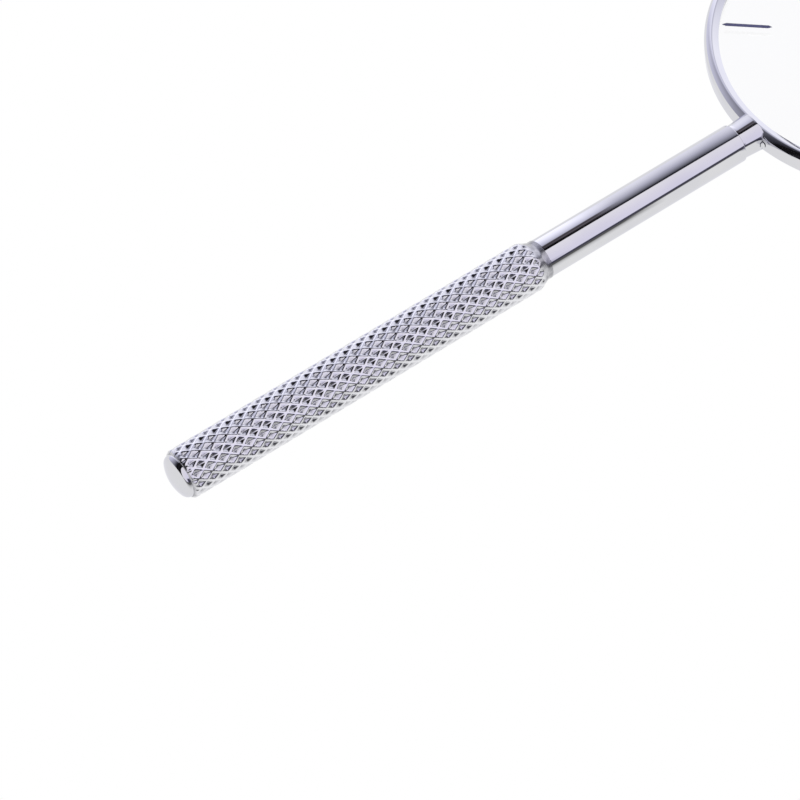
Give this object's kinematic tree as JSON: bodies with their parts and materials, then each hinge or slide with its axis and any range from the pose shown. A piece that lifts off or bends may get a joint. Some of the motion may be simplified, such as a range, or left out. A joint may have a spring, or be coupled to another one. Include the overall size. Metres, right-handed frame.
{
  "type": "hand lens",
  "caption": "Hand-held cross-cylinder lens: round lens with radial axis marks in a plated rounded rim, on a smooth stem with a diamond-knurled grip.",
  "frame": {"origin": "centre of the lens, on the optical axis, halfway through the rim's height", "axes": "+Z along the optical axis, out of the marked face; the handle runs from the rim towards -X"},
  "size_m": [0.1126, 0.0416, 0.0052],
  "materials": {
    "glass": "polished clear optical glass",
    "black_enamel": "enamel fill, satin",
    "red_enamel": "enamel fill, satin",
    "chrome": "polished plating",
    "knurled_chrome": "plated diamond knurl",
    "spring_steel": "drawn wire",
    "solder": "smooth plated solder"
  },
  "bodies": {
    "root": {"lens": "glass", "black_axis_marks": "black_enamel", "red_axis_marks": "red_enamel", "rim": "chrome", "retaining_ring": "spring_steel", "collar": "chrome", "solder_fillet": "solder", "stem": "chrome", "grip": "knurled_chrome", "end_cap": "chrome"}
  },
  "joints": []
}
